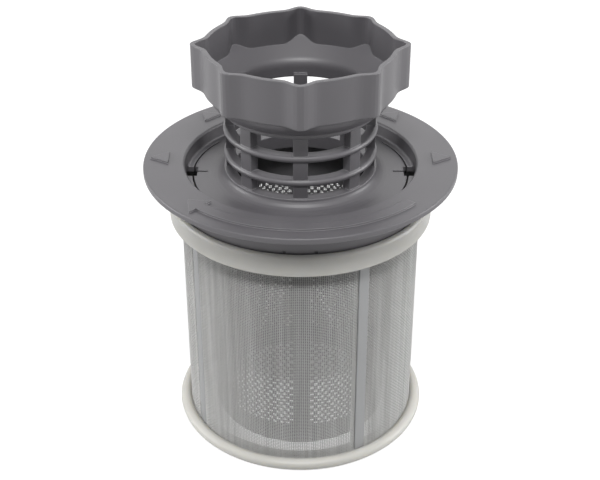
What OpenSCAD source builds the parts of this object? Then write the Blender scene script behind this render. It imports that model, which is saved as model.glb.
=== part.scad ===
// Dishwasher filter: a coarse filter with a scalloped grip, plugged into a fine mesh cylinder.
// Millimetres, +Z up, origin at the centre of the foot. Directions are counted in degrees from
// the front (-Y) towards the right (+X), as one looks down on the filter.

/* [Overall] */
// Height of the top face of the flange
flange_z = 88.5; // [86:0.5:91]

/* [Flange] */
// Radius of the flange
flange_r = 47; // [46.4:0.2:52]
// Thickness of the flange
flange_t = 1.85; // [1.4:0.05:2.6]
// Radius of the rounded rim edges
rim_round = 0.4; // [0.1:0.05:0.5]
// Radius of the recess round the cage
recess_r = 34.8; // [34:0.1:35.4]
// Depth of the recess below the flange
recess_d = 4.3; // [3:0.1:5]
// Thickness of the floor of the recess
disc_t = 1.8; // [1.2:0.1:2.6]
// Height of the raised arrow and triangles
mark_h = 0.6; // [0.3:0.1:1]

/* [Plug] */
// Outer radius of the skirt that plugs into the mesh cylinder
skirt_r = 38; // [37.6:0.1:38.4]
// Wall of the skirt
skirt_t = 1.6; // [1.2:0.1:1.8]
// Height of the ledge that the skirt stands on
ledge_z = 72.6; // [70:0.2:74]
// Gap between the skirt and the bore that it plugs into
skirt_gap = 0.2; // [0.1:0.05:0.4]
// Width of the springy tongues at the front and back of the skirt
tongue_w = 9; // [6:0.5:14]
// Width of the slots beside the tongues
tongue_slot = 0.9; // [0.5:0.1:1.5]
// Length of the slots beside the tongues
tongue_l = 6.4; // [4:0.2:8]

/* [Recess slits] */
// Length of the pocket beside the recess wall, along the radius
pocket_l = 3.4; // [3:0.2:5]
// Width of the pocket
pocket_w = 6; // [4:0.5:8]
// Width of the slits in the floor of the recess
slit_w = 0.5; // [0.3:0.1:0.8]
// Width of the slit from the pocket towards the cage
short_slit_w = 0.9; // [0.3:0.1:1.2]
// Half angle of the slits round the recess
slit_half = 38; // [20:1:42]

/* [Cage] */
// Bore of the cage
cage_bore = 19.6; // [18:0.2:20.4]
// Radial thickness of the hoops
hoop_t = 3.2; // [2.6:0.1:3.6]
// How far the ribs stay inside the hoops
rib_inset = 0.6; // [0.3:0.1:1.4]
// Width of the cage ribs
rib_w = 4.2; // [3:0.1:5]
// Number of cage ribs
rib_count = 8; // [6:1:10]
// How far the ribs reach up into the funnel
rib_rise = 1.2; // [0.4:0.1:2]
// Drop from the flange to the lip below the lowest row of windows
lip_drop = 1.5; // [0.6:0.1:2.2]
// Height of the first row of windows
row1_h = 3.8; // [3:0.1:4.4]
// Height of the second row of windows
row2_h = 5.4; // [4:0.1:6]
// Height of the third row of windows
row3_h = 5.6; // [4:0.1:6]
// Height of the hoops between the rows
hoop_h = 2.15; // [1.4:0.05:2.6]

/* [Grip] */
// Height of the bowl, from the windows up to the scalloped wall
bowl_h = 6; // [5.6:0.1:8]
// Height of the upright scalloped wall
grip_h = 13.1; // [10:0.1:15]
// Wall of the grip
grip_t = 1.3; // [1:0.1:1.8]
// Radius of the grip between its lobes, at the front
valley_r = 27.2; // [26.8:0.1:27.8]
// Extra radius between the lobes at the sides
side_bulge = 0.9; // [0:0.1:1.2]
// Radius of the lobes
lobe_r = 30; // [29.4:0.1:32]
// Extra radius of the two lobes at the sides
side_lobe = 1.5; // [0:0.1:2]
// Number of lobes
lobe_count = 8; // [6:1:10]
// Narrowness of the lobes
lobe_sharp = 10; // [4:1:16]
// Rounding of the bowl under the grip
bowl_round = 5; // [4.8:0.1:5.4]
// Radius of the throat of the funnel
throat_r = 20.8; // [20.6:0.1:21.2]
// Height of the funnel edge above the windows
funnel_h = 4.8; // [4:0.1:5.4]
// Slope of the funnel
funnel_slope = 36; // [28:1:40]
// Rounding from the funnel into its throat
funnel_round = 3.5; // [1:0.5:5]

/* [Basket] */
// Outer radius of the perforated basket
basket_r = 27.3; // [26.4:0.1:28]
// Wall of the basket
basket_t = 1.4; // [1:0.1:2]
// Gap between the basket and the foot plane
basket_z = 1.4; // [1:0.1:4]
// Height of the plain band at each end of the basket
band_h = 6.2; // [4:0.2:10]
// Number of perforated panels
panel_count = 6; // [5:1:8]
// Width of the plain ribs between the panels
panel_rib = 4.2; // [3:0.2:6]
// Diameter of the holes
hole_d = 3.4; // [2:0.1:4]
// Rows of holes in a panel
hole_rows = 8; // [4:1:8]
// Gap between the basket and the spigot inside it
spigot_gap = 0.15; // [0.1:0.05:0.3]
// Length of the spigot
spigot_h = 4; // [2:0.5:6]

/* [Mesh cylinder] */
// Set-back of the mesh sleeve from the outside of the skirt
sleeve_set = 1.6; // [1.4:0.1:2.2]
// Wall of the mesh sleeve
sleeve_t = 0.8; // [0.7:0.05:1]
// How far each face of the mesh lies below the plain strips
mesh_set = 0.1; // [0.05:0.05:0.15]
// Depth of the grooves between the mesh ridges
ridge_d = 0.15; // [0.05:0.05:0.15]
// Number of mesh ridges
ridge_count = 20; // [10:1:24]
// Openings round the mesh, in each row
gap_cols = 24; // [12:4:24]
// Rows of openings in the mesh
gap_rows = 5; // [3:1:5]
// Width of an opening in the mesh
gap_w = 1.6; // [0.8:0.1:2.4]
// Width of the plain strips down the mesh
strip_w = 3.5; // [2.5:0.1:5]
// Direction of the first plain strip
strip_dir = 30; // [20:1:40]
// Radial depth of the ribs behind the strips
rib_depth = 1.2; // [0.8:0.1:1.8]

/* [Rings] */
// How far the lower ring stands out from the mesh
foot_out = 3.5; // [3:0.1:4.6]
// Height of the lower ring
foot_h = 3.5; // [3:0.1:5]
// Wall of the upper ring round the plug
collar_t = 1.6; // [1.2:0.1:2.4]
// Height of the upper ring
collar_h = 6.8; // [6:0.1:8]

/* [Hidden] */
$fn = 128;
eps = 0.01;
grey = "#6f6d72";
light_grey = "#a3a29f";
white = "#dcdbd3";

// Levels
disc_z = flange_z - recess_d;
disc_under = disc_z - disc_t;
lip_z = flange_z - lip_drop;
row2_z = lip_z + row1_h + hoop_h;
row3_z = row2_z + row2_h + hoop_h;
cage_top = row3_z + row3_h;
grip_z = cage_top + bowl_h;
total_h = grip_z + grip_h;
collar_z = ledge_z - 1.1;
collar_top = collar_z + collar_h;
sleeve_z = 2.4;

// Radii
cage_r = cage_bore + hoop_t;
rib_r = cage_r - rib_inset;
collar_bore = skirt_r + skirt_gap;
collar_r = collar_bore + collar_t;
sleeve_r = skirt_r - sleeve_set;
sleeve_in = sleeve_r - sleeve_t;
frame_in = sleeve_in - rib_depth;
foot_r = sleeve_r + foot_out;
wall_foot = recess_r - 0.5;
bead_r = foot_h / 2;
spigot_r = basket_r - basket_t - spigot_gap;

// Turns what follows from +X to a direction counted from the front
module facing(direction) {
    rotate([0, 0, direction - 90]) children();
}

// A ring with a rectangular section
module ring(r_in, r_out, z0, z1) {
    rotate_extrude() translate([r_in, z0]) square([r_out - r_in, z1 - z0]);
}

// Part of a ring, from one direction to another
module ring_part(r_in, r_out, z0, z1, from, to) {
    facing(from) rotate_extrude(angle = to - from)
        translate([r_in, z0]) square([r_out - r_in, z1 - z0]);
}

// The grip: a scalloped wall on a round bowl, with a funnel inside

// Radius between the lobes in a direction
function valley(a) = valley_r + side_bulge * pow(sin(a), 2);

// The two lobes at the sides stand out further
function lobe_top(a) = abs(sin(a)) > 0.9 ? lobe_r + side_lobe : lobe_r;

// Share of a lobe in a direction: 1 in its middle, 0 halfway to the next
function lobe_share(a) =
    let (pitch = 360 / lobe_count, off = abs(a - pitch * round(a / pitch)))
    pow(cos(90 * off / (pitch / 2)), lobe_sharp);

// The outline of the grip, or of its inside when a wall is taken off
module scallop(wall = 0) {
    step = 1.875;
    polygon([for (a = [0 : step : 360 - step])
        let (low = valley(a), r = low + (lobe_top(a) - low) * lobe_share(a) - wall)
        r * [sin(a), -cos(a)]]);
}

module grip_body() {
    translate([0, 0, grip_z]) linear_extrude(grip_h) scallop();
    // The round bowl under the wall turns in to the cage
    bowl_r = valley_r - 0.1;
    mid_r = bowl_r - bowl_round;
    mid_z = grip_z + 0.3;
    low = asin((cage_r - mid_r) / bowl_round);
    rotate_extrude() polygon(concat(
        [[throat_r - 0.5, mid_z], [throat_r - 0.5, cage_top], [cage_r, cage_top]],
        [for (i = [0 : 8])
            let (a = low + (90 - low) * i / 8)
            [mid_r + bowl_round * sin(a), mid_z - bowl_round * cos(a)]]));
}

// The room inside the grip: the funnel, rounded into its throat
module grip_room() {
    far = lobe_r + side_lobe;
    rise = tan(funnel_slope);
    edge_z = cage_top + funnel_h;
    mid_r = throat_r + funnel_round;
    mid_z = edge_z - funnel_round * tan(45 - funnel_slope / 2);
    intersection() {
        translate([0, 0, cage_top - 2]) linear_extrude(total_h) scallop(grip_t);
        rotate_extrude() polygon(concat(
            [[0, cage_top - 1], [throat_r, cage_top - 1]],
            [for (i = [0 : 6])
                let (a = (90 - funnel_slope) * i / 6)
                [mid_r - funnel_round * cos(a), mid_z + funnel_round * sin(a)]],
            [[far, edge_z + rise * (far - throat_r)], [far, total_h + 1], [0, total_h + 1]]));
    }
}

// The cage: ribs joined by rounded hoops
module hoop(z) {
    soft = hoop_h / 2;
    rotate_extrude() {
        translate([cage_bore, z]) square([hoop_t - soft, hoop_h]);
        translate([cage_r - soft, z + soft]) circle(r = soft, $fn = 32);
    }
}

module cage() {
    intersection() {
        ring(cage_bore, rib_r, disc_under, cage_top + rib_rise);
        for (i = [0 : rib_count - 1])
            facing(i * 360 / rib_count)
                translate([cage_bore - 1, -rib_w / 2, disc_under])
                    cube([hoop_t + 1, rib_w, cage_top + rib_rise - disc_under]);
    }
    hoop(row2_z - hoop_h);
    hoop(row3_z - hoop_h);
}

// The recess floor, its wall, the flange and the skirt, as one turned section
module flange_body() {
    foot_w = cage_r + 4.2;
    flare = [for (a = [0 : 15 : 90])
        [foot_w - (foot_w - cage_r) * sin(a), lip_z - (lip_z - disc_z) * cos(a)]];
    rotate_extrude() polygon(concat(
        [[cage_bore, disc_under], [cage_bore, lip_z], [cage_r - 0.3, lip_z]],
        [for (i = [len(flare) - 1 : -1 : 0]) flare[i]],
        [[wall_foot - 0.3, disc_z], [wall_foot, disc_z + 0.3],
         [recess_r - 0.1, flange_z - 0.5], [recess_r + 0.4, flange_z]],
        [for (a = [90 : -30 : 0])
            [flange_r - rim_round * (1 - cos(a)), flange_z - rim_round * (1 - sin(a))]],
        [for (a = [0 : 30 : 90])
            [flange_r - rim_round * (1 - cos(a)), flange_z - flange_t + rim_round * (1 - sin(a))]],
        [[skirt_r, flange_z - flange_t], [skirt_r, ledge_z], [skirt_r - skirt_t, ledge_z],
         [skirt_r - skirt_t, disc_under]]));
}

// Pockets and slits at the sides of the recess leave its floor springy
module side_slits() {
    low = disc_under - 1;
    high = disc_z + 1.5;
    slit_r = wall_foot - 2;
    pocket_in = recess_r - 0.3 - pocket_l;
    pocket_half = asin(pocket_w / 2 / slit_r);
    for (side = [-1, 1]) facing(90 * side) {
        translate([pocket_in, -pocket_w / 2, low]) cube([pocket_l, pocket_w, high - low]);
        translate([pocket_in - 3.2, -short_slit_w / 2, low]) cube([3.4, short_slit_w, high - low]);
        for (flip = [0, 1]) mirror([0, flip, 0])
            rotate([0, 0, pocket_half - 2]) rotate_extrude(angle = slit_half - pocket_half + 2)
                translate([slit_r - slit_w / 2, low]) square([slit_w, high - low]);
    }
}

// Slots that free a tongue at the front and the back of the skirt
module tongue_slots() {
    for (side = [0, 180], edge = [-1, 1])
        facing(side)
            translate([skirt_r - skirt_t - 1, edge * tongue_w / 2 - tongue_slot / 2, ledge_z - 1])
                cube([skirt_t + 2, tongue_slot, tongue_l + 1]);
}

// Raised marks on the flange: a turning arrow and four pointers
module turning_arrow() {
    low = flange_z - eps;
    high = flange_z + mark_h;
    mid = flange_r - 6;
    arrow_from = -43;
    arrow_to = 49;
    ring_part(mid - 1.7, mid + 1.7, low, high, arrow_from, arrow_to);
    facing(arrow_from) translate([0, 0, low]) linear_extrude(high - low)
        polygon([[mid - 4.2, 0], [mid + 4.2, 0], mid * [cos(7.7), -sin(7.7)]]);
}

module pointer() {
    base_r = flange_r - 7.6;
    tip_r = flange_r - 2;
    half_w = 3.4;
    translate([0, 0, flange_z - eps]) linear_extrude(mark_h + eps)
        polygon([[base_r, -half_w], [base_r, half_w], [tip_r, 0]]);
}

module top_moulding() {
    color(grey) {
        difference() {
            union() {
                flange_body();
                grip_body();
                turning_arrow();
                for (direction = [-135, -90, 90, 135]) facing(direction) pointer();
                ring(spigot_r - 1.2, spigot_r, disc_under - spigot_h, disc_under + eps);
            }
            grip_room();
            side_slits();
            tongue_slots();
        }
        cage();
    }
}

// The basket: an open tube, perforated between plain ribs
module panel_holes() {
    low = basket_z + band_h;
    high = disc_under - spigot_h - band_h;
    row_step = (high - low) / hole_rows;
    half_panel = 180 / panel_count - asin(panel_rib / 2 / basket_r);
    for (row = [0 : hole_rows - 1]) {
        in_row = row % 2 == 0 ? 3 : 2;
        col_step = 2 * half_panel / 3;
        for (i = [0 : in_row - 1])
            rotate([0, 0, col_step * (i - (in_row - 1) / 2)])
                translate([basket_r - basket_t - 1, 0, low + row_step * (row + 0.5)])
                    rotate([0, 90, 0]) cylinder(d = hole_d, h = basket_t + 2, $fn = 24);
    }
}

module coarse_basket() {
    color(grey) difference() {
        ring(basket_r - basket_t, basket_r, basket_z, disc_under);
        for (i = [0 : panel_count - 1])
            facing((i + 0.5) * 360 / panel_count) panel_holes();
    }
}

// The white frame: collar and foot, joined by four ribs inside the mesh
module mesh_frame() {
    color(white) {
        difference() {
            union() {
                rotate_extrude() {
                    // The collar stands on the sleeve and carries the skirt on its ledge
                    polygon([
                        [frame_in, collar_z - 1.2], [sleeve_in, collar_z - 1.2],
                        [sleeve_in, collar_z], [collar_r - 0.5, collar_z],
                        [collar_r, collar_z + 0.5], [collar_r, collar_top - 0.9],
                        [collar_r - 0.3, collar_top - 0.3], [collar_r - 0.9, collar_top],
                        [collar_bore + 0.2, collar_top], [collar_bore, collar_top - 0.2],
                        [collar_bore, ledge_z], [frame_in, ledge_z]]);
                    // The foot is a round bead with a flat sole
                    translate([foot_r - bead_r, bead_r]) circle(r = bead_r, $fn = 48);
                    polygon([
                        [frame_in, 0], [foot_r - bead_r, 0], [foot_r - bead_r, sleeve_z],
                        [sleeve_in, sleeve_z], [sleeve_in, foot_h + 0.6],
                        [frame_in, foot_h + 0.6]]);
                }
                intersection() {
                    ring(frame_in, sleeve_in, foot_h, collar_z);
                    for (i = [0 : 3])
                        facing(strip_dir + 90 * i)
                            translate([frame_in - 1, -strip_w / 2, foot_h])
                                cube([rib_depth + 2, strip_w, collar_z - foot_h]);
                }
            }
            // The bead leaves the mesh its seat
            ring(sleeve_in, sleeve_r, sleeve_z, foot_h + 1);
        }
    }
}

// The fine mesh: ridges on both faces of a thin wall, rows of openings, and four plain strips

// Takes a depth off both faces of the sleeve, between two levels
module mesh_cut(depth, low, high) {
    ring(sleeve_r - depth, sleeve_r + 1, low, high);
    ring(sleeve_in - 1, sleeve_in + depth, low, high);
}

module mesh_sleeve() {
    span = collar_z - foot_h;
    ridge_step = span / ridge_count;
    row_step = floor(ridge_count / gap_rows) * ridge_step;
    color(light_grey) difference() {
        ring(sleeve_in, sleeve_r, sleeve_z, collar_z);
        // The mesh lies below the plain strips, with grooves between its ridges
        difference() {
            union() {
                mesh_cut(mesh_set, foot_h + 0.3, collar_z - 0.5);
                for (i = [0 : ridge_count - 1])
                    mesh_cut(mesh_set + ridge_d,
                        foot_h + ridge_step * (i + 0.15), foot_h + ridge_step * (i + 0.85));
            }
            for (i = [0 : 3])
                facing(strip_dir + 90 * i)
                    translate([sleeve_in - 2, -strip_w / 2, 0]) cube([6, strip_w, total_h]);
        }
        for (row = [0 : gap_rows - 1], col = [0 : gap_cols - 1])
            facing(strip_dir + (col + 0.5) * 360 / gap_cols)
                translate([sleeve_in - 1, -gap_w / 2, foot_h + row_step * (row + 0.5) - ridge_step * 0.2])
                    cube([sleeve_t + 2, gap_w, ridge_step * 0.4]);
    }
}

top_moulding();
coarse_basket();
mesh_frame();
mesh_sleeve();
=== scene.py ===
import math

import bpy
import numpy as np
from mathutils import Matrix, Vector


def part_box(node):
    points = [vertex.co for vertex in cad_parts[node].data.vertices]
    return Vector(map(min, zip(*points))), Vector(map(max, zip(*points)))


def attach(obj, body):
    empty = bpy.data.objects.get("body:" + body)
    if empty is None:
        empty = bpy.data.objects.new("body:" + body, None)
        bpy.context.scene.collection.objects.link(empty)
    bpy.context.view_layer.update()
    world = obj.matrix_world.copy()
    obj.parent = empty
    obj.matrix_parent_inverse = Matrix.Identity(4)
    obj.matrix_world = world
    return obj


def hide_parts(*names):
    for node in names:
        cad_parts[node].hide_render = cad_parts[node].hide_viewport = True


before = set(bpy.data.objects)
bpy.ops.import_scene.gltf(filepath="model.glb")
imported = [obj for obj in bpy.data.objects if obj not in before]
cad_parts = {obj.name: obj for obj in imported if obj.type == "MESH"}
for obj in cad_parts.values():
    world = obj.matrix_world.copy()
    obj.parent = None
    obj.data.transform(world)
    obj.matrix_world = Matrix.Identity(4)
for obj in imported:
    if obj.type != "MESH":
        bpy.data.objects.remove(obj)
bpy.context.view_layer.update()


# The camera stands in front of the filter, a little above arm's length for its size, and looks
# down into the grip at 31 degrees. The lens gives the gentle perspective of the photograph.
camera_away = 0.3247
camera_height = 0.2563
camera_pitch = math.radians(31.17)
camera_lens = 72.93

camera_data = bpy.data.cameras.new("studio_camera")
camera_data.lens = camera_lens
camera_data.sensor_width = 36.0
camera_data.shift_x = -0.0008
camera_data.clip_start = 0.01
camera = bpy.data.objects.new("studio_camera", camera_data)
camera.location = (0.0, -camera_away, camera_height)
camera.rotation_euler = (math.pi / 2 - camera_pitch, 0.0, 0.0)
bpy.context.scene.collection.objects.link(camera)
bpy.context.scene.camera = camera
bpy.context.scene.view_settings.view_transform = "Standard"


# The light is a soft studio tent: one broad lamp high in front, which throws the shadow of the
# flange on the collar, a soft lamp at each side, which brightens the flanks, and one behind,
# which gives the flat tops their sheen.
def soft_lamp(name, place, aim, size, power):
    data = bpy.data.lights.new(name, "AREA")
    data.shape = "RECTANGLE"
    data.size, data.size_y = size
    data.energy = power
    lamp = bpy.data.objects.new(name, data)
    lamp.location = place
    lamp.rotation_mode = "QUATERNION"
    way = Vector(aim) - Vector(place)
    lamp.rotation_quaternion = way.to_track_quat("-Z", "Y")
    lamp.visible_camera = False
    bpy.context.scene.collection.objects.link(lamp)


middle = (0.0, 0.0, 0.06)
soft_lamp("front_lamp", (0.0, -1.03, 1.74), middle, (0.9, 0.35), 27.0)
soft_lamp("left_lamp", (-1.5, 0.15, 0.45), middle, (0.55, 0.55), 13.8)
soft_lamp("right_lamp", (1.5, 0.15, 0.45), middle, (0.55, 0.55), 13.8)
soft_lamp("back_lamp", (0.0, 1.6, 1.0), middle, (1.8, 0.9), 5.0)


# The room is white paper: it lights the filter from all round at a plain level, and shows as
# white to the camera and in reflections.
def add_node(tree, kind, **settings):
    node = tree.nodes.new(kind)
    for name, value in settings.items():
        if name in node.inputs:
            node.inputs[name].default_value = value
        else:
            setattr(node, name, value)
    return node


def sees_background(tree):
    light_path = add_node(tree, "ShaderNodeLightPath")
    seen = add_node(tree, "ShaderNodeMath", operation="MAXIMUM")
    tree.links.new(light_path.outputs["Is Camera Ray"], seen.inputs[0])
    tree.links.new(light_path.outputs["Is Glossy Ray"], seen.inputs[1])
    seen_all = add_node(tree, "ShaderNodeMath", operation="MAXIMUM")
    tree.links.new(seen.outputs[0], seen_all.inputs[0])
    tree.links.new(light_path.outputs["Is Transmission Ray"], seen_all.inputs[1])
    return seen_all.outputs[0]


room_light = 0.07
room = bpy.data.worlds.new("paper_room")
room.use_nodes = True
room_tree = room.node_tree
room_tree.nodes.clear()
lit = add_node(room_tree, "ShaderNodeBackground", Color=(1, 1, 1, 1), Strength=room_light)
shown = add_node(room_tree, "ShaderNodeBackground", Color=(1, 1, 1, 1), Strength=1.0)
choose = add_node(room_tree, "ShaderNodeMixShader")
room_out = add_node(room_tree, "ShaderNodeOutputWorld")
room_tree.links.new(sees_background(room_tree), choose.inputs[0])
room_tree.links.new(lit.outputs[0], choose.inputs[1])
room_tree.links.new(shown.outputs[0], choose.inputs[2])
room_tree.links.new(choose.outputs[0], room_out.inputs["Surface"])
bpy.context.scene.world = room


# The floor is a sheet of white paper under the filter. Its own glow makes it as pale as the
# room, and it keeps the lamps' shadow. Inside the mesh, behind a shallow curve, a painted shade
# darkens its glow.
def new_material(name):
    material = bpy.data.materials.new(name)
    material.use_nodes = True
    material.node_tree.nodes.clear()
    return material, material.node_tree


floor_half = 3.0
paper_glow = 0.68
far_paper_glow = 1.0
near_paper = 0.2
glow_rise = 1.0
# The painted shade on the paper inside the mesh: its ring, its shallow curve, its blur and the
# glow it leaves.
painted_shade_radius = 0.0362
painted_shade_start = 0.0037
painted_shade_bend = 16.5
painted_shade_blur = 0.005
painted_shade_ring_blur = 0.002
painted_shade_left = 0.08


def floor_glow_and_painted_shade(tree):
    """The glow of the paper by place: a painted shade darkens it inside the mesh behind a
    shallow curve, and it rises far away, where the lamps no longer reach."""
    place = tree.nodes.new("ShaderNodeTexCoord")
    apart = tree.nodes.new("ShaderNodeSeparateXYZ")
    tree.links.new(place.outputs["Object"], apart.inputs[0])

    def math_node(operation, first, second, clamp=False):
        node = add_node(tree, "ShaderNodeMath", operation=operation, use_clamp=clamp)
        for socket, value in zip(node.inputs, (first, second)):
            if isinstance(value, float):
                socket.default_value = value
            else:
                tree.links.new(value, socket)
        return node.outputs[0]

    across, deep = apart.outputs["X"], apart.outputs["Y"]
    squared = math_node("MULTIPLY", across, across)
    curve = math_node("ADD", math_node("MULTIPLY", squared, painted_shade_bend), painted_shade_start)
    behind = math_node("MULTIPLY", math_node("SUBTRACT", deep, curve), 1 / painted_shade_blur, True)
    radius = math_node("SQRT", math_node("ADD", squared, math_node("MULTIPLY", deep, deep)), 0.0)
    inside = math_node("MULTIPLY", math_node("SUBTRACT", painted_shade_radius, radius), 1 / painted_shade_ring_blur,
                       True)
    # Painted shade, not cast by the lamps: dark inside the mesh ring and behind the curve.
    painted_shade = math_node("MULTIPLY", math_node("MULTIPLY", inside, behind), 1 - painted_shade_left)
    far = math_node("MULTIPLY", math_node("SUBTRACT", radius, near_paper), glow_rise, True)
    level = math_node("ADD", math_node("MULTIPLY", far, far_paper_glow - paper_glow), paper_glow)
    return math_node("MULTIPLY", math_node("SUBTRACT", 1.0, painted_shade), level)


paper, paper_tree = new_material("white_paper")
matte = add_node(paper_tree, "ShaderNodeBsdfDiffuse", Color=(0.52, 0.52, 0.52, 1))
glow = add_node(paper_tree, "ShaderNodeEmission", Color=(1, 1, 1, 1))
both = add_node(paper_tree, "ShaderNodeAddShader")
paper_out = add_node(paper_tree, "ShaderNodeOutputMaterial")
glow_level = add_node(paper_tree, "ShaderNodeMath", operation="MULTIPLY")
paper_tree.links.new(sees_background(paper_tree), glow_level.inputs[0])
paper_tree.links.new(floor_glow_and_painted_shade(paper_tree), glow_level.inputs[1])
paper_tree.links.new(glow_level.outputs[0], glow.inputs["Strength"])
paper_tree.links.new(matte.outputs[0], both.inputs[0])
paper_tree.links.new(glow.outputs[0], both.inputs[1])
paper_tree.links.new(both.outputs[0], paper_out.inputs["Surface"])

floor_mesh = bpy.data.meshes.new("floor")
floor_mesh.from_pydata(
    [(-floor_half, -floor_half, 0), (floor_half, -floor_half, 0),
     (floor_half, floor_half, 0), (-floor_half, floor_half, 0)],
    [], [(0, 1, 2, 3)])
floor = bpy.data.objects.new("floor", floor_mesh)
floor.data.materials.append(paper)
bpy.context.scene.collection.objects.link(floor)


# The grip, cage, flange and skirt are one moulding in grey polypropylene, satin from a polished
# mould, with a painted highlight on its edges. It is carried over from the solids and gets its
# finish here.
def group_with(name, inputs, outputs):
    group = bpy.data.node_groups.new(name, "ShaderNodeTree")
    for label, kind in inputs:
        group.interface.new_socket(label, in_out="INPUT", socket_type=kind)
    for label, kind in outputs:
        group.interface.new_socket(label, in_out="OUTPUT", socket_type=kind)
    return group, group.nodes.new("NodeGroupInput"), group.nodes.new("NodeGroupOutput")


def moulding_grain_group():
    """Slow drifts of tone and a very fine grain, as moulded plastic has."""
    group, given, result = group_with(
        "moulding_grain",
        [("Drift Size", "NodeSocketFloat"), ("Grain Size", "NodeSocketFloat")],
        [("Tone", "NodeSocketFloat"), ("Grain", "NodeSocketFloat")])
    place = group.nodes.new("ShaderNodeTexCoord")
    drift = add_node(group, "ShaderNodeTexNoise", Detail=3.0, Roughness=0.55)
    grain = add_node(group, "ShaderNodeTexNoise", Detail=2.0, Roughness=0.6)
    group.links.new(place.outputs["Object"], drift.inputs["Vector"])
    group.links.new(place.outputs["Object"], grain.inputs["Vector"])
    group.links.new(given.outputs["Drift Size"], drift.inputs["Scale"])
    group.links.new(given.outputs["Grain Size"], grain.inputs["Scale"])
    group.links.new(drift.outputs["Fac"], result.inputs["Tone"])
    group.links.new(grain.outputs["Fac"], result.inputs["Grain"])
    return group


def soft_edge_group():
    """Rounds sharp edges by a radius and marks where they are."""
    group, given, result = group_with(
        "soft_edge",
        [("Radius", "NodeSocketFloat"), ("Sharpness", "NodeSocketFloat")],
        [("Edge", "NodeSocketFloat"), ("Normal", "NodeSocketVector")])
    bevel = add_node(group, "ShaderNodeBevel", samples=6)
    flat = group.nodes.new("ShaderNodeNewGeometry")
    match = add_node(group, "ShaderNodeVectorMath", operation="DOT_PRODUCT")
    turned = add_node(group, "ShaderNodeMath", operation="SUBTRACT")
    turned.inputs[0].default_value = 1.0
    scaled = add_node(group, "ShaderNodeMath", operation="MULTIPLY", use_clamp=True)
    group.links.new(given.outputs["Radius"], bevel.inputs["Radius"])
    group.links.new(bevel.outputs["Normal"], match.inputs[0])
    group.links.new(flat.outputs["Normal"], match.inputs[1])
    group.links.new(match.outputs["Value"], turned.inputs[1])
    group.links.new(turned.outputs[0], scaled.inputs[0])
    group.links.new(given.outputs["Sharpness"], scaled.inputs[1])
    group.links.new(scaled.outputs[0], result.inputs["Edge"])
    group.links.new(bevel.outputs["Normal"], result.inputs["Normal"])
    return group


moulding_grain = moulding_grain_group()
soft_edge = soft_edge_group()


def place_group(tree, group, **settings):
    node = tree.nodes.new("ShaderNodeGroup")
    node.node_tree = group
    for name, value in settings.items():
        node.inputs[name.replace("_", " ").title()].default_value = value
    return node


def moulded_plastic(name, low, high, edge, roughness, edge_radius, grain_depth, milky=0.0,
                    sheen=0.5):
    """Satin moulded plastic that drifts from low to high, with a painted highlight that makes
    its edges a little paler. Light passes some way through a milky one."""
    material, tree = new_material(name)
    grain = place_group(tree, moulding_grain, drift_size=38.0, grain_size=2600.0)
    soft = place_group(tree, soft_edge, radius=edge_radius, sharpness=3.0)
    tone = add_node(tree, "ShaderNodeMix", data_type="RGBA")
    tone.inputs["A"].default_value = (*low, 1)
    tone.inputs["B"].default_value = (*high, 1)
    # The edge colour is a painted highlight, mixed in where the soft edge marks an edge.
    painted_edge_highlight = add_node(tree, "ShaderNodeMix", data_type="RGBA")
    painted_edge_highlight.inputs["B"].default_value = (*edge, 1)
    gloss = add_node(tree, "ShaderNodeMapRange")
    gloss.inputs["To Min"].default_value = roughness - 0.05
    gloss.inputs["To Max"].default_value = roughness + 0.05
    bump = add_node(tree, "ShaderNodeBump", Distance=grain_depth, Strength=0.6)
    body = tree.nodes.new("ShaderNodeBsdfPrincipled")
    body.inputs["Subsurface Weight"].default_value = milky
    body.inputs["Subsurface Radius"].default_value = (1.0, 0.95, 0.8)
    body.inputs["Subsurface Scale"].default_value = 0.005
    body.inputs["Specular IOR Level"].default_value = sheen
    out = tree.nodes.new("ShaderNodeOutputMaterial")
    links = tree.links
    for mix in (tone, painted_edge_highlight):
        mix.clamp_factor = True
    links.new(grain.outputs["Tone"], tone.inputs["Factor"])
    links.new(soft.outputs["Edge"], painted_edge_highlight.inputs["Factor"])
    links.new(tone.outputs["Result"], painted_edge_highlight.inputs["A"])
    links.new(painted_edge_highlight.outputs["Result"], body.inputs["Base Color"])
    links.new(grain.outputs["Tone"], gloss.inputs["Value"])
    links.new(gloss.outputs["Result"], body.inputs["Roughness"])
    links.new(grain.outputs["Grain"], bump.inputs["Height"])
    links.new(soft.outputs["Normal"], bump.inputs["Normal"])
    links.new(bump.outputs["Normal"], body.inputs["Normal"])
    links.new(body.outputs[0], out.inputs["Surface"])
    return material


def dress(node_name, material):
    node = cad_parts[node_name]
    node.data.materials.clear()
    node.data.materials.append(material)


# Its edge colour is a painted highlight on the edges of the moulding.
grey_plastic = moulded_plastic(
    "grey_plastic", low=(0.098, 0.0935, 0.102), high=(0.123, 0.118, 0.128),
    edge=(0.24, 0.235, 0.246), roughness=0.45, edge_radius=0.0005, grain_depth=0.00001,
    sheen=0.7)
dress("top_moulding", grey_plastic)


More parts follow.
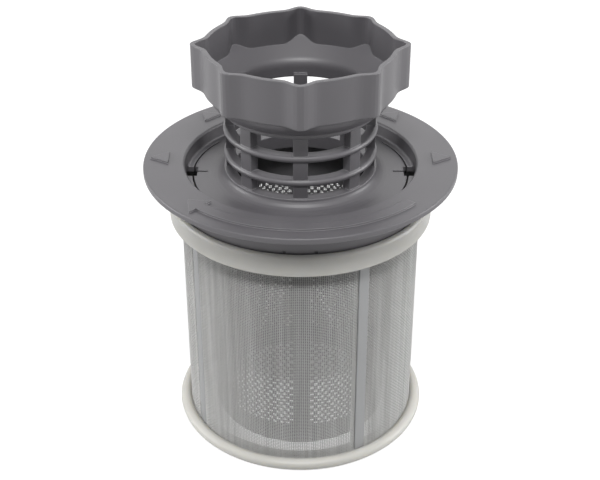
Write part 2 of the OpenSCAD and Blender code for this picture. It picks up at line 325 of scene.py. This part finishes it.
# The basket is a tube of the same grey plastic, pierced by some three thousand round holes in
# staggered rows between plain ribs. It is pressed on the spigot under the recess floor.
def perforated_basket():
    low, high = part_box("coarse_basket")
    outer = (high[0] - low[0]) / 2
    wall = 0.0006
    inner = outer - wall
    panels = 6
    rib = 0.0042
    bottom, top = low[2], high[2]
    bottom_band = 0.0062
    first_row = bottom + bottom_band
    row_step = 0.00125
    rows = 48
    last_row = first_row + rows * row_step
    holes_across = 11
    hole = 0.00074
    turned = math.radians(0.9)
    sides = 8

    columns = 2 * holes_across + 1
    rib_angle = rib / outer
    step = (2 * math.pi / panels - rib_angle) / (columns - 1)

    points, faces, index = [], [], {}

    def place(angle, height):
        key = (round(angle % (2 * math.pi), 6), round(height, 7))
        if key not in index:
            index[key] = len(points)
            points.append((angle, height))
        return index[key]

    def corner(panel, i, j):
        angle = panel * 2 * math.pi / panels + rib_angle / 2 + i * step
        return place(angle, first_row + j * row_step)

    rims = []
    for panel in range(panels):
        start = panel * 2 * math.pi / panels + rib_angle / 2
        for j in range(rows + 1):
            for i in range(columns):
                if (i + j) % 2 == 0:
                    continue
                inside = 0 < i < columns - 1 and 0 < j < rows
                around = [(i + 1, j), (i, j + 1), (i - 1, j), (i, j - 1)]
                known = [c for c in around if 0 <= c[0] < columns and 0 <= c[1] <= rows]
                corners = [corner(panel, *c) for c in known]
                if not inside:
                    faces.append(corners)
                    continue
                ring = []
                for k in range(sides):
                    turn = 2 * math.pi * k / sides
                    ring.append(place(start + i * step + hole * math.cos(turn) / outer,
                                      first_row + j * row_step + hole * math.sin(turn)))
                rims.append(ring)
                for k in range(4):
                    a, b = corners[k], corners[(k + 1) % 4]
                    r0, r1, r2 = ring[2 * k], ring[2 * k + 1], ring[(2 * k + 2) % sides]
                    faces.extend([(a, r1, r0), (a, b, r1), (b, r2, r1)])
        # The plain rib to the next panel
        for j in range(0, rows, 2):
            faces.append((corner(panel, columns - 1, j), corner(panel + 1, 0, j),
                          corner(panel + 1, 0, j + 2), corner(panel, columns - 1, j + 2)))

    # The plain bands at both ends
    angles = []
    for panel in range(panels):
        start = panel * 2 * math.pi / panels + rib_angle / 2
        angles.extend(start + i * step for i in range(0, columns, 2))
    ends = []
    for k, angle in enumerate(angles):
        following = angles[(k + 1) % len(angles)]
        for edge, row in ((bottom, first_row), (top, last_row)):
            quad = [place(angle, edge), place(following, edge),
                    place(following, row), place(angle, row)]
            faces.append(quad if edge == bottom else quad[::-1])
            ends.append((quad[0], quad[1]) if edge == bottom else (quad[1], quad[0]))

    flat = np.array(points)
    count = len(flat)
    shells = []
    for radius in (outer, inner):
        shells.append(np.column_stack(
            [radius * np.sin(flat[:, 0] + turned), -radius * np.cos(flat[:, 0] + turned),
             flat[:, 1]]))
    solid = [tuple(f) for f in faces]
    solid += [tuple(count + v for v in reversed(f)) for f in faces]
    for ring in rims:
        for k in range(sides):
            a, b = ring[k], ring[(k + 1) % sides]
            solid.append((a, b, count + b, count + a))
    for a, b in ends:
        solid.append((b, a, count + a, count + b))

    mesh = bpy.data.meshes.new("perforated_basket")
    mesh.from_pydata(np.vstack(shells).tolist(), [], solid)
    mesh.shade_smooth()
    mesh.set_sharp_from_angle(angle=math.radians(40))
    basket = bpy.data.objects.new("perforated_basket", mesh)
    bpy.context.scene.collection.objects.link(basket)
    return basket


# Its edge colour is a painted highlight on the edges of the holes and the ends.
basket_plastic = moulded_plastic(
    "basket_plastic", low=(0.1, 0.098, 0.103), high=(0.125, 0.122, 0.128),
    edge=(0.2, 0.2, 0.205), roughness=0.45, edge_radius=0.0002, grain_depth=0.00001)
basket = perforated_basket()
basket.data.materials.append(basket_plastic)
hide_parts("coarse_basket")
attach(basket, "coarse_filter")


# The collar, the lower ring and the ribs behind the mesh are moulded round it as one piece, in
# natural white plastic with a warm tinge.
# Its edge colour is a painted highlight, a little paler than the body.
white_plastic = moulded_plastic(
    "white_plastic", low=(0.55, 0.541, 0.508), high=(0.615, 0.606, 0.573),
    edge=(0.65, 0.643, 0.616), roughness=0.45, edge_radius=0.0003, grain_depth=0.00001,
    milky=0.8)
dress("mesh_frame", white_plastic)


# The fine mesh is plain-woven polyester, round threads over and under each other, held in four
# panels between strips where the plastic of the ribs has filled the weave.
sleeve_low, sleeve_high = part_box("mesh_sleeve")
sleeve_radius = sleeve_high[0]
thread_pitch = 0.00057
thread = 0.00027
strip_width = 0.0035
strip_first = math.radians(30.6)
strip_gap = 0.00045


def on_sleeve(radius, angle, height):
    return np.stack([radius * np.sin(angle), -radius * np.cos(angle), height], axis=-1)


def thread_mesh(centres, side, out, sides_at, out_at):
    """Tubes along rows of points: a three-sided section spanned by side and out."""
    lines, steps = centres.shape[:2]
    rings = np.stack([centres + side * s + out * o for s, o in zip(sides_at, out_at)], axis=2)
    points = rings.reshape(-1, 3)
    index = np.arange(lines * steps * 3).reshape(lines, steps, 3)
    a = index[:, :-1, :]
    b = index[:, 1:, :]
    faces = np.stack([a, np.roll(a, -1, axis=2), np.roll(b, -1, axis=2), b], axis=-1)
    return points, faces.reshape(-1, 4)


def woven_panel(name, start, end):
    height = sleeve_high[2] - sleeve_low[2]
    mid_radius = sleeve_radius - thread
    columns = round((end - start) * mid_radius / thread_pitch)
    rows = round(height / thread_pitch)
    angles = np.linspace(start, end, columns + 1)
    heights = np.linspace(sleeve_low[2] + thread / 2, sleeve_high[2] - thread / 2, rows + 1)
    angle, level = np.meshgrid(angles, heights, indexing="ij")
    over = np.where((np.add.outer(np.arange(columns + 1), np.arange(rows + 1)) % 2) == 0, 1, -1)
    swing = 0.45 * thread
    out = np.stack([np.sin(angle), -np.cos(angle), np.zeros_like(angle)], axis=-1)
    along = np.stack([np.cos(angle), np.sin(angle), np.zeros_like(angle)], axis=-1)
    up = np.zeros_like(out)
    up[..., 2] = 1
    half = thread / 2
    upright = on_sleeve(mid_radius + swing * over, angle, level)
    level_threads = on_sleeve(mid_radius - swing * over, angle, level)
    section = ((half, 0.0, -half), (-0.5 * half, half, -0.5 * half))
    p1, f1 = thread_mesh(upright, along, out, *section)
    p2, f2 = thread_mesh(level_threads.swapaxes(0, 1), -up.swapaxes(0, 1), out.swapaxes(0, 1),
                         *section)
    mesh = bpy.data.meshes.new(name)
    mesh.from_pydata(np.vstack([p1, p2]).tolist(), [], np.vstack([f1, f2 + len(p1)]).tolist())
    mesh.shade_smooth()
    panel = bpy.data.objects.new(name, mesh)
    bpy.context.scene.collection.objects.link(panel)
    return panel


def plain_strip(name, middle_angle):
    half = strip_width / 2 / sleeve_radius
    set_back = 0.0001
    inner_set_back = 0.0006
    shoulder = 0.0002
    outer = sleeve_radius - set_back
    inner = sleeve_radius - inner_set_back
    steps = 8
    section = [(inner, -half)]
    section += [(outer - shoulder, -half)]
    section += [(outer, -half + 2 * half * (0.06 + 0.88 * k / steps)) for k in range(steps + 1)]
    section += [(outer - shoulder, half), (inner, half)]
    points, faces = [], []
    for height in (sleeve_low[2], sleeve_high[2]):
        for radius, off in section:
            angle = middle_angle + off
            points.append((radius * math.sin(angle), -radius * math.cos(angle), height))
    n = len(section)
    for k in range(n):
        after = (k + 1) % n
        faces.append((k, after, n + after, n + k))
    faces += [tuple(reversed(range(n))), tuple(range(n, 2 * n))]
    mesh = bpy.data.meshes.new(name)
    mesh.from_pydata(points, [], faces)
    mesh.shade_smooth()
    mesh.set_sharp_from_angle(angle=math.radians(35))
    strip = bpy.data.objects.new(name, mesh)
    bpy.context.scene.collection.objects.link(strip)
    return strip


def woven_plastic():
    """Polyester thread with fine streaks of tone up the mesh, as the upright threads vary."""
    material, tree = new_material("woven_polyester")
    place = tree.nodes.new("ShaderNodeTexCoord")
    stretched = tree.nodes.new("ShaderNodeMapping")
    stretched.inputs["Scale"].default_value = (1.0, 1.0, 0.03)
    streak = add_node(tree, "ShaderNodeTexNoise", Scale=620.0, Detail=2.0, Roughness=0.6)
    spread = tree.nodes.new("ShaderNodeMapRange")
    spread.inputs["From Min"].default_value = 0.3
    spread.inputs["From Max"].default_value = 0.7
    tone = add_node(tree, "ShaderNodeMix", data_type="RGBA")
    tone.inputs["A"].default_value = (0.475, 0.474, 0.465, 1)
    tone.inputs["B"].default_value = (0.635, 0.634, 0.625, 1)
    body = add_node(tree, "ShaderNodeBsdfPrincipled", Roughness=0.4)
    out = tree.nodes.new("ShaderNodeOutputMaterial")
    tree.links.new(place.outputs["Object"], stretched.inputs["Vector"])
    tree.links.new(stretched.outputs["Vector"], streak.inputs["Vector"])
    tree.links.new(streak.outputs["Fac"], spread.inputs["Value"])
    tree.links.new(spread.outputs["Result"], tone.inputs["Factor"])
    tree.links.new(tone.outputs["Result"], body.inputs["Base Color"])
    tree.links.new(body.outputs[0], out.inputs["Surface"])
    return material


polyester = woven_plastic()
filled_weave = moulded_plastic(
    "filled_weave", low=(0.345, 0.349, 0.354), high=(0.395, 0.399, 0.404),
    edge=(0.36, 0.364, 0.37), roughness=0.62, edge_radius=0.0002, grain_depth=0.00002)
for quarter in range(4):
    strip_angle = strip_first + quarter * math.pi / 2
    next_angle = strip_angle + math.pi / 2
    half_strip = strip_width / 2 / sleeve_radius
    panel = woven_panel(
        f"woven_panel_{quarter + 1}", strip_angle + half_strip,
        next_angle - half_strip - strip_gap / sleeve_radius)
    panel.data.materials.append(polyester)
    strip = plain_strip(f"plain_strip_{quarter + 1}", strip_angle)
    strip.data.materials.append(filled_weave)
    for piece in (panel, strip):
        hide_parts("mesh_sleeve")
        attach(piece, "mesh_cylinder")
